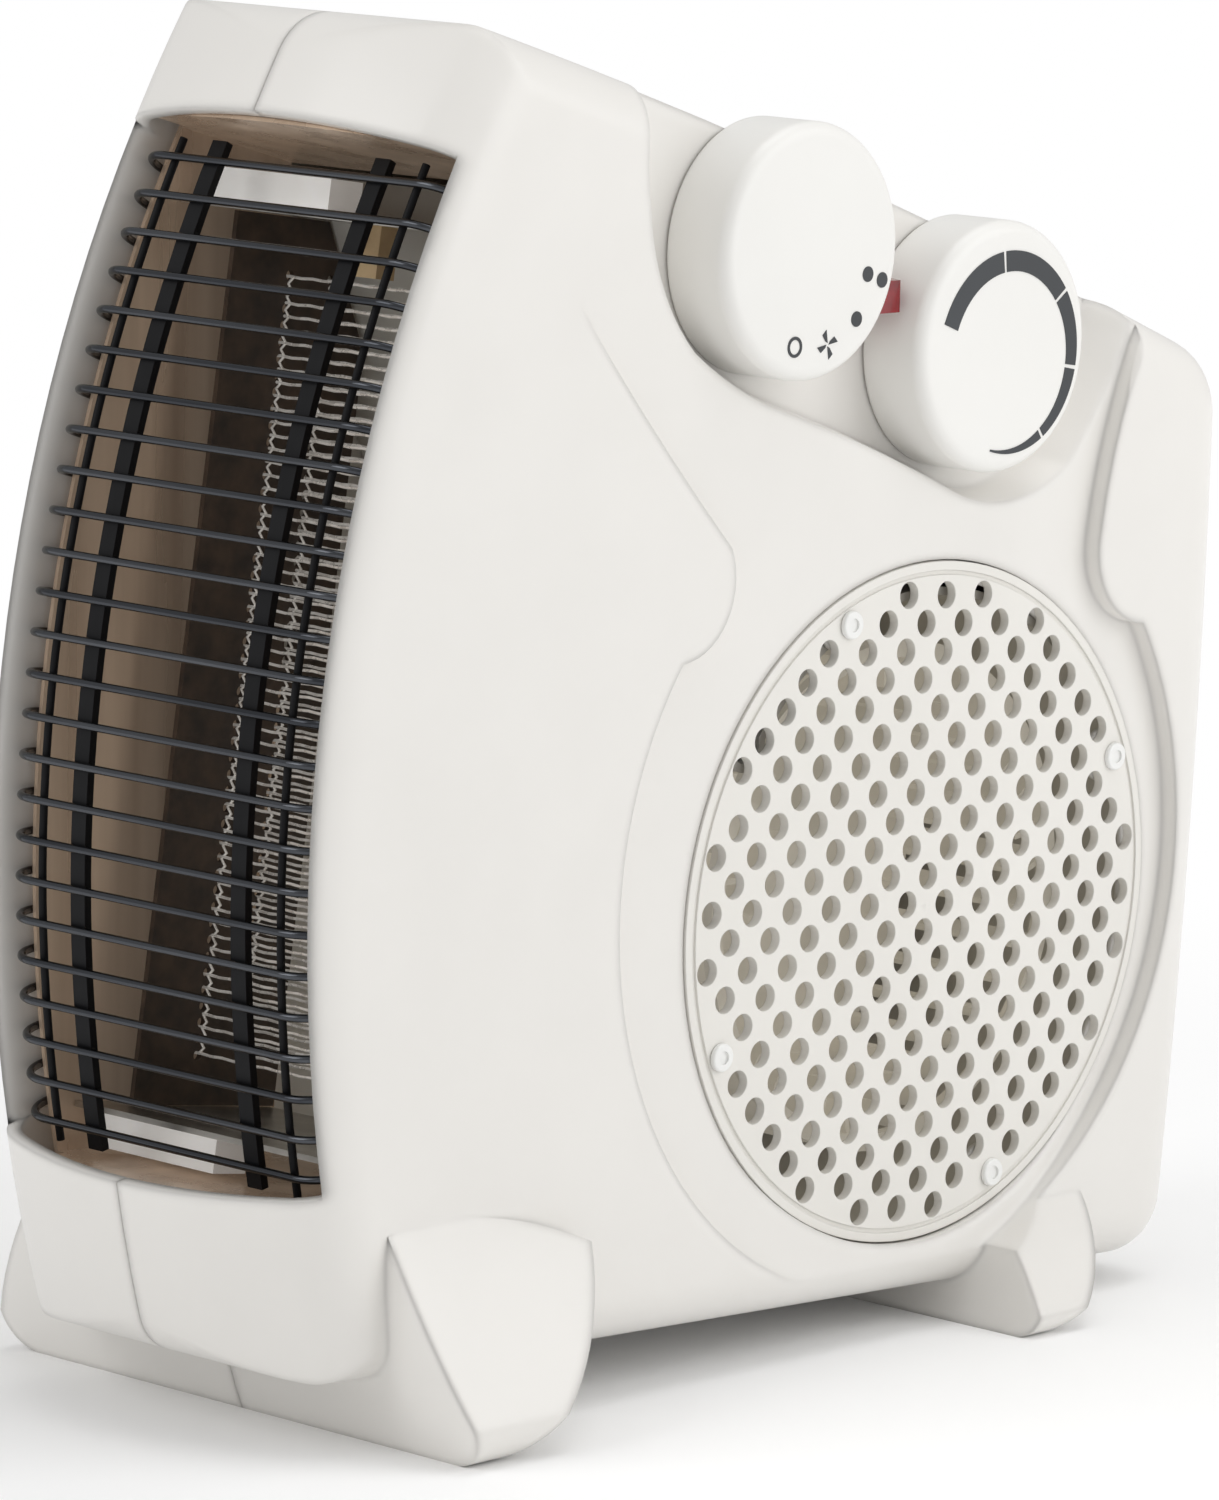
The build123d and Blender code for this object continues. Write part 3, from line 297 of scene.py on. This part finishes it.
def band(radius: float, thick: tuple[float, float], angles: tuple[float, float],
         steps: int) -> list[Outline]:
    """Short quads along an arc whose thickness changes on the way.

    Args:
        radius: The arc's middle radius.
        thick: Thickness at the start and at the end.
        angles: Start and end angle in degrees.
        steps: How many quads it has.

    Returns:
        The outlines of the quads.
    """
    edges = []
    for index in range(steps + 1):
        share = index / steps
        half = (thick[0] + (thick[1] - thick[0]) * share) / 2
        angle = angles[0] + (angles[1] - angles[0]) * share
        edges.append((spot(radius - half, angle), spot(radius + half, angle)))
    return [[start[0], start[1], end[1], end[0]] for start, end in zip(edges, edges[1:])]


@dataclass
class Controls:
    """The two knobs with their marks, the controls behind them and the pilot lamp."""

    mark_height: float = 0.12 * MM
    mark_sink: float = 0.06 * MM
    mark_radius: float = 16.6 * MM
    mark_step: float = 29.0
    off_angle: float = -105.0
    dot_radius: float = 1.35 * MM
    dot_spread: float = 1.95 * MM
    round_sides: int = 28
    ring_radius: float = 1.55 * MM
    ring_width: float = 0.55 * MM
    blade_count: int = 4
    blade_radius: float = 2.6 * MM
    blade_points: tuple[Spot, ...] = ((0.12, 0.0), (1.0, 8.0), (0.82, 38.0), (0.30, 42.0))
    scale_start: float = 159.0
    scale_breaks: tuple[float, ...] = (96.2, 36.3, -9.6, -57.1, -106.0)
    scale_radius: float = 16.9 * MM
    scale_shift: Spot = (1.1 * MM, -1.7 * MM)
    scale_thick: float = 3.5 * MM
    scale_taper: float = 2.6
    scale_tip: float = 0.3 * MM
    scale_steps: int = 14
    break_width: float = 2.2

    def build(self) -> None:
        """Makes the marks and dresses the pieces."""
        mark = MARK_GREY.build()
        knob = KNOB_WHITE.build()
        inner = INNER_WHITE.build()
        for node in ("mode_knob", "thermostat_knob"):
            dress(node, knob)
        for node in ("mode_switch", "thermostat", "mode_spindle", "thermostat_spindle"):
            dress(node, inner)
        dress("pilot_lens", LAMP_RED.build())
        dress("neon_lamp", LAMP_GLASS.build())
        self._mode_marks(mark)
        self._scale_marks(mark)

    def _place(self, node: str) -> tuple[Spot, float]:
        """Centre (Y, Z) of a knob and where its marks start."""
        centre = middle(node)
        return (centre.y, centre.z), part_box(node)[1].x - self.mark_sink

    def _mode_marks(self, material: bpy.types.Material) -> None:
        """Ring, fan, one dot and two dots, one step apart.

        Args:
            material: The marks' material.
        """
        centre, base = self._place("mode_knob")
        off, fan, low, high = [spot(self.mark_radius, self.off_angle + self.mark_step * index)
                               for index in range(4)]
        ring = band(self.ring_radius, (self.ring_width, self.ring_width), (0.0, 360.0), self.round_sides)
        shapes = [moved(quad, off) for quad in ring]
        for blade in range(self.blade_count):
            turn = 360 / self.blade_count * blade
            points = [spot(self.blade_radius * share, turn + angle) for share, angle in self.blade_points]
            shapes.append(moved(points, fan))
        disc = dot(self.dot_radius, self.round_sides)
        shapes.append(moved(disc, low))
        outward = Vector(high).normalized() * self.dot_spread
        for side in (-1, 1):
            shapes.append(moved(disc, (high[0] + side * outward.x, high[1] + side * outward.y)))
        mesh = raised(shapes, centre, base, self.mark_height + self.mark_sink, "mode_marks")
        register("mode_marks", mesh, material, Body.MODE)

    def _scale_thickness(self, degrees: float) -> float:
        """Thickness of the scale at an angle, full at first and thin at the end."""
        share = (degrees - self.scale_start) / (self.scale_breaks[-1] - self.scale_start)
        return self.scale_thick * (1 - share ** self.scale_taper) + self.scale_tip

    def _scale_marks(self, material: bpy.types.Material) -> None:
        """Tapered arc in segments.

        Args:
            material: The marks' material.
        """
        centre, base = self._place("thermostat_knob")
        centre = (centre[0] + self.scale_shift[0], centre[1] + self.scale_shift[1])
        shapes: list[Outline] = []
        start = self.scale_start
        for stop in self.scale_breaks:
            end = stop + self.break_width / 2
            thick = (self._scale_thickness(start), self._scale_thickness(end))
            shapes += band(self.scale_radius, thick, (start, end), self.scale_steps)
            start = stop - self.break_width / 2
        mesh = raised(shapes, centre, base, self.mark_height + self.mark_sink, "scale_marks")
        register("scale_marks", mesh, material, Body.THERMOSTAT)


@dataclass
class HeatingCircuit:
    """Crimped heating wire strung between the boards, made as one Geometry Nodes tree."""

    node: str
    name: str
    passes: int = 60
    crimps: int = 12
    swing: float = 0.16 * MM
    wire_radius: float = 0.28 * MM
    turn_inset: float = 2.4 * MM
    turn_reach: float = 1.1 * MM
    end_room: float = 0.5 * MM
    board_room: float = 1.6 * MM

    def build(self, material: bpy.types.Material) -> None:
        """Strings the crimped passes inside the plain circuit's box, in its lean.

        Args:
            material: The wire's material.
        """
        low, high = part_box(self.node)
        empty = bpy.data.meshes.new(self.name + "_carrier")
        carrier = bpy.data.objects.new(self.name + "_carrier", empty)
        bpy.context.scene.collection.objects.link(carrier)
        modifier = carrier.modifiers.new("passes", "NODES")
        modifier.node_group = self._tree(material)
        room = self.wire_radius + self.end_room
        half_width = (high.x - low.x) / 2 - self.board_room
        values = {
            "Passes": self.passes,
            "Crimps": self.crimps,
            "Swing": self.swing,
            "Wire Radius": self.wire_radius,
            "Bottom": Vector((0.0, low.y + room, low.z + room)),
            "Top": Vector((0.0, high.y - room, high.z - room)),
            "Half Width": half_width,
            "Turn Place": half_width - self.turn_inset,
            "Turn Reach": self.turn_reach,
        }
        for item in modifier.node_group.interface.items_tree:
            if item.name in values:
                modifier[item.identifier] = values[item.name]
        evaluated = carrier.evaluated_get(bpy.context.evaluated_depsgraph_get())
        mesh = bpy.data.meshes.new_from_object(evaluated)
        bpy.data.objects.remove(carrier)
        piece = register(self.name, mesh, material, Body.CASING)
        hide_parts(self.node)

    def _tree(self, material: bpy.types.Material) -> bpy.types.NodeTree:
        """Builds the tree: a crimped wire on each point of the lean, and a zigzag of turns at each side.

        Args:
            material: The wire's material.

        Returns:
            The node tree.
        """
        tree = bpy.data.node_groups.new(self.name + "_tree", "GeometryNodeTree")
        face = tree.interface
        inputs = {
            "Passes": "NodeSocketInt", "Crimps": "NodeSocketInt", "Swing": "NodeSocketFloat",
            "Wire Radius": "NodeSocketFloat", "Bottom": "NodeSocketVector", "Top": "NodeSocketVector",
            "Half Width": "NodeSocketFloat", "Turn Place": "NodeSocketFloat", "Turn Reach": "NodeSocketFloat",
        }
        for label, kind in inputs.items():
            face.new_socket(label, in_out="INPUT", socket_type=kind)
        face.new_socket("Geometry", in_out="OUTPUT", socket_type="NodeSocketGeometry")
        links = tree.links
        given = tree.nodes.new("NodeGroupInput").outputs
        left = self._across(tree, self._math(tree, "MULTIPLY", given["Half Width"], -1.0), None)
        right = self._across(tree, given["Half Width"], None)
        crossing = self._line(tree, self._math(tree, "MULTIPLY", given["Crimps"], 2.0), left, right)
        lift = self._across(tree, None, self._odd(tree, given["Swing"]))
        crimped = self._zigzag(tree, crossing, lift)
        wire = self._tube(tree, crimped, given["Wire Radius"])
        ladder = self._line(tree, given["Passes"], given["Bottom"], given["Top"])
        strung = tree.nodes.new("GeometryNodeInstanceOnPoints")
        links.new(ladder, strung.inputs["Points"])
        links.new(wire, strung.inputs["Instance"])
        joined = tree.nodes.new("GeometryNodeJoinGeometry")
        links.new(strung.outputs["Instances"], joined.inputs["Geometry"])
        turn_count = self._math(tree, "MULTIPLY", given["Passes"], 2.0)
        turns = self._line(tree, turn_count, given["Bottom"], given["Top"])
        for side in (-1.0, 1.0):
            reach = self._odd(tree, given["Turn Reach"])
            from_middle = self._math(tree, "SUBTRACT", given["Turn Place"], reach)
            place = self._across(tree, self._math(tree, "MULTIPLY", from_middle, side), None)
            turn = self._tube(tree, self._zigzag(tree, turns, place), given["Wire Radius"])
            links.new(turn, joined.inputs["Geometry"])
        real = tree.nodes.new("GeometryNodeRealizeInstances")
        links.new(joined.outputs["Geometry"], real.inputs["Geometry"])
        coat = tree.nodes.new("GeometryNodeSetMaterial")
        coat.inputs["Material"].default_value = material
        links.new(real.outputs["Geometry"], coat.inputs["Geometry"])
        links.new(coat.outputs["Geometry"], tree.nodes.new("NodeGroupOutput").inputs["Geometry"])
        return tree

    @staticmethod
    def _math(tree: bpy.types.NodeTree, operation: str, first: bpy.types.NodeSocket,
              second: bpy.types.NodeSocket | float) -> bpy.types.NodeSocket:
        """Adds one sum.

        Args:
            tree: The tree it goes in.
            operation: The kind of sum.
            first: Its first value.
            second: Its second value, a socket or a plain number.

        Returns:
            The result's socket.
        """
        node = tree.nodes.new("ShaderNodeMath")
        node.operation = operation
        tree.links.new(first, node.inputs[0])
        if isinstance(second, float):
            node.inputs[1].default_value = second
        else:
            tree.links.new(second, node.inputs[1])
        return node.outputs[0]

    def _odd(self, tree: bpy.types.NodeTree, size: bpy.types.NodeSocket) -> bpy.types.NodeSocket:
        """Size on every second point and nothing on the others."""
        index = tree.nodes.new("GeometryNodeInputIndex")
        return self._math(tree, "MULTIPLY", self._math(tree, "MODULO", index.outputs[0], 2.0), size)

    @staticmethod
    def _across(tree: bpy.types.NodeTree, x: bpy.types.NodeSocket | None,
                z: bpy.types.NodeSocket | None) -> bpy.types.NodeSocket:
        """Adds a vector along X, Z or both.

        Args:
            tree: The tree it goes in.
            x: The X part, if it has one.
            z: The Z part, if it has one.

        Returns:
            The vector's socket.
        """
        node = tree.nodes.new("ShaderNodeCombineXYZ")
        for label, socket in (("X", x), ("Z", z)):
            if socket is not None:
                tree.links.new(socket, node.inputs[label])
        return node.outputs[0]

    @staticmethod
    def _line(tree: bpy.types.NodeTree, count: bpy.types.NodeSocket, start: bpy.types.NodeSocket,
              end: bpy.types.NodeSocket) -> bpy.types.NodeSocket:
        """Adds a straight row of points.

        Args:
            tree: The tree it goes in.
            count: How many points it has.
            start: The first point.
            end: The last point.

        Returns:
            The row's socket.
        """
        node = tree.nodes.new("GeometryNodeMeshLine")
        node.mode = "END_POINTS"
        tree.links.new(count, node.inputs["Count"])
        tree.links.new(start, node.inputs["Start Location"])
        tree.links.new(end, node.inputs["Offset"])
        return node.outputs["Mesh"]

    @staticmethod
    def _zigzag(tree: bpy.types.NodeTree, row: bpy.types.NodeSocket,
                offset: bpy.types.NodeSocket) -> bpy.types.NodeSocket:
        """Moves a row's points by an offset and makes a curve of them.

        Args:
            tree: The tree it goes in.
            row: The row of points.
            offset: How far each point moves.

        Returns:
            The curve's socket.
        """
        move = tree.nodes.new("GeometryNodeSetPosition")
        tree.links.new(row, move.inputs["Geometry"])
        tree.links.new(offset, move.inputs["Offset"])
        curve = tree.nodes.new("GeometryNodeMeshToCurve")
        tree.links.new(move.outputs["Geometry"], curve.inputs["Mesh"])
        return curve.outputs["Curve"]

    @staticmethod
    def _tube(tree: bpy.types.NodeTree, curve: bpy.types.NodeSocket,
              radius: bpy.types.NodeSocket) -> bpy.types.NodeSocket:
        """Makes a closed tube along a curve.

        Args:
            tree: The tree it goes in.
            curve: The curve it follows.
            radius: Its radius.

        Returns:
            The tube's socket.
        """
        ring = tree.nodes.new("GeometryNodeCurvePrimitiveCircle")
        ring.inputs["Resolution"].default_value = TUBE_SIDES
        tree.links.new(radius, ring.inputs["Radius"])
        tube = tree.nodes.new("GeometryNodeCurveToMesh")
        tube.inputs["Fill Caps"].default_value = True
        tree.links.new(curve, tube.inputs["Curve"])
        tree.links.new(ring.outputs["Curve"], tube.inputs["Profile Curve"])
        return tube.outputs["Mesh"]


@dataclass
class SubAssembly:
    """A group of carried-over nodes that share finishes."""

    title: str
    finishes: dict[str, Finish]

    def build(self) -> None:
        """Gives each node its finish, building each finish once."""
        made: dict[str, bpy.types.Material] = {}
        for node, finish in self.finishes.items():
            if finish.name not in made:
                made[finish.name] = finish.build()
            dress(node, made[finish.name])
        LOG.info("finished the %s", self.title)


CASING = SubAssembly("casing", {
    "right_shell": SHELL_WHITE,
    "left_shell": SHELL_WHITE,
    "shell_screws": ZINC,
})
INTAKE = SubAssembly("intake", {
    "intake_grille": GRILLE_WHITE,
    "grille_rivets": RIVET_WHITE,
})
OUTLET = SubAssembly("outlet", {
    "guard_wires": WIRE_DARK,
    "guard_uprights": BAR_BLACK,
    "duct_liner": LINER_PAINTED_REFLECTION,
})
ELEMENT = SubAssembly("element", {
    "mica_board_left": MICA_BROWN,
    "mica_board_right": MICA_BROWN,
    "element_bracket_upper": ZINC,
    "element_bracket_lower": ZINC,
    "ceramic_block_upper": CERAMIC_WHITE,
    "ceramic_block_lower": CERAMIC_WHITE,
    "thermal_cutout": CUTOUT_TAN,
})
DRIVE = SubAssembly("drive", {
    "fan_scroll": INNER_WHITE,
    "impeller": FAN_PAINTED_LIGHT,
    "fan_shaft": ZINC,
    "motor_rotor": LAMINATE,
    "motor_stack": LAMINATE,
    "motor_coil": COIL_TAPE,
    "motor_bracket_rear": ZINC,
    "motor_bracket_front": ZINC,
    "motor_screws": ZINC,
})
WIRING = SubAssembly("wiring", {
    "cord_inlet_bush": BUSH_GREY,
    "cord_clamp": INNER_WHITE,
    "clamp_screws": ZINC,
    "terminal_block": INNER_WHITE,
    "lead_thermostat": SLEEVE,
    "lead_switch": SLEEVE,
    "lead_motor": SLEEVE,
})


@dataclass(frozen=True)
class Lamp:
    """A soft square lamp: where it stands, its side in metres and its power in watts."""

    name: str
    place: tuple[float, float, float]
    side: float
    power: float

    def build(self, target: Vector) -> None:
        """Adds the lamp, turned to a point.

        Args:
            target: The point it looks at.
        """
        lamp = bpy.data.lights.new(self.name, "AREA")
        lamp.energy = self.power
        lamp.size = self.side
        holder = bpy.data.objects.new(self.name, lamp)
        bpy.context.scene.collection.objects.link(holder)
        place = Vector(self.place)
        turn = (target - place).to_track_quat("-Z", "Y").to_matrix().to_4x4()
        holder.matrix_world = Matrix.Translation(place) @ turn


LAMPS = (
    Lamp("key", (0.70, 0.36, 0.50), 0.7, 2.8),
    Lamp("fill", (-0.6, -1.7, 1.2), 1.2, 10.5),
    Lamp("top", (0.2, 0.3, 2.2), 1.4, 13.0),
)


@dataclass
class Studio:
    """Camera, floor, white surroundings and soft lamps."""

    eye: tuple[float, float, float] = (0.9241, -0.97944, 0.3246)
    forward: tuple[float, float, float] = (-0.67784, 0.71733, -0.16119)
    right: tuple[float, float, float] = (0.72379, 0.68957, 0.02501)
    lens: float = 185.56
    sensor: float = 36.0
    lamp_target: tuple[float, float, float] = (0.0, 0.0, 0.11)
    floor_size: float = 12.0
    floor_white: float = 0.97
    floor_roughness: float = 0.9
    floor_specular: float = 0.1
    world_light: float = 0.52
    fade_start: float = 0.13
    fade_end: float = 0.48

    def build(self) -> None:
        """Makes everything round the object."""
        self._camera()
        self._world()
        self._floor()
        for lamp in LAMPS:
            lamp.build(Vector(self.lamp_target))

    def _camera(self) -> None:
        """Places the camera by its measured directions."""
        camera = bpy.data.cameras.new("view_camera")
        camera.lens = self.lens
        camera.sensor_width = self.sensor
        camera.sensor_fit = "AUTO"
        holder = bpy.data.objects.new("view_camera", camera)
        bpy.context.scene.collection.objects.link(holder)
        back = -Vector(self.forward).normalized()
        right = Vector(self.right).normalized()
        up = back.cross(right).normalized()
        turn = Matrix((right, up, back)).transposed().to_4x4()
        holder.matrix_world = Matrix.Translation(Vector(self.eye)) @ turn
        bpy.context.scene.camera = holder

    def _world(self) -> None:
        """White to the camera, and a plain soft light to everything else."""
        world = bpy.data.worlds.new("surroundings")
        bpy.context.scene.world = world
        world.use_nodes = True
        nodes = world.node_tree.nodes
        links = world.node_tree.links
        light = nodes["Background"]
        light.inputs["Color"].default_value = (1.0, 1.0, 1.0, 1.0)
        light.inputs["Strength"].default_value = self.world_light
        shown = nodes.new("ShaderNodeBackground")
        shown.inputs["Strength"].default_value = 1.0
        shown.inputs["Color"].default_value = (1.0, 1.0, 1.0, 1.0)
        path = nodes.new("ShaderNodeLightPath")
        blend = nodes.new("ShaderNodeMixShader")
        links.new(path.outputs["Is Camera Ray"], blend.inputs["Fac"])
        links.new(light.outputs["Background"], blend.inputs[1])
        links.new(shown.outputs["Background"], blend.inputs[2])
        links.new(blend.outputs["Shader"], nodes["World Output"].inputs["Surface"])

    def _floor(self) -> None:
        """Plain white floor that keeps the object's shadow."""
        half = self.floor_size / 2
        mesh = bpy.data.meshes.new("floor")
        corners = [(-half, -half, 0), (half, -half, 0), (half, half, 0), (-half, half, 0)]
        mesh.from_pydata(corners, [], [(0, 1, 2, 3)])
        floor = bpy.data.objects.new("floor", mesh)
        bpy.context.scene.collection.objects.link(floor)
        mesh.materials.append(self._floor_material())

    def _floor_material(self) -> bpy.types.Material:
        """White that takes the shadow near the object and fades into the background.

        Returns:
            The material.
        """
        material = bpy.data.materials.new("floor_white")
        material.use_nodes = True
        nodes = material.node_tree.nodes
        links = material.node_tree.links
        shader = nodes["Principled BSDF"]
        shader.inputs["Base Color"].default_value = (*[self.floor_white] * 3, 1.0)
        shader.inputs["Roughness"].default_value = self.floor_roughness
        shader.inputs["Specular IOR Level"].default_value = self.floor_specular
        place = nodes.new("ShaderNodeTexCoord")
        distance = nodes.new("ShaderNodeVectorMath")
        distance.operation = "LENGTH"
        links.new(place.outputs["Object"], distance.inputs[0])
        fade = nodes.new("ShaderNodeMapRange")
        fade.interpolation_type = "SMOOTHSTEP"
        fade.inputs["From Min"].default_value = self.fade_start
        fade.inputs["From Max"].default_value = self.fade_end
        links.new(distance.outputs["Value"], fade.inputs["Value"])
        plain = nodes.new("ShaderNodeEmission")
        plain.inputs["Color"].default_value = (1.0, 1.0, 1.0, 1.0)
        blend = nodes.new("ShaderNodeMixShader")
        links.new(fade.outputs["Result"], blend.inputs["Fac"])
        links.new(shader.outputs["BSDF"], blend.inputs[1])
        links.new(plain.outputs["Emission"], blend.inputs[2])
        links.new(blend.outputs["Shader"], nodes["Material Output"].inputs["Surface"])
        return material


def main() -> None:
    """Builds the heater's sub-assemblies in order and then the surroundings."""
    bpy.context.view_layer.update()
    bpy.context.scene.view_settings.view_transform = "Standard"
    for group in (CASING, INTAKE, OUTLET, ELEMENT, DRIVE, WIRING):
        group.build()
    Controls().build()
    heating = HEATING_GREY.build()
    HeatingCircuit("heating_wire_front", "crimped_wire_front").build(heating)
    HeatingCircuit("heating_wire_rear", "crimped_wire_rear").build(heating)
    Studio().build()


if __name__ == "__main__":
    main()
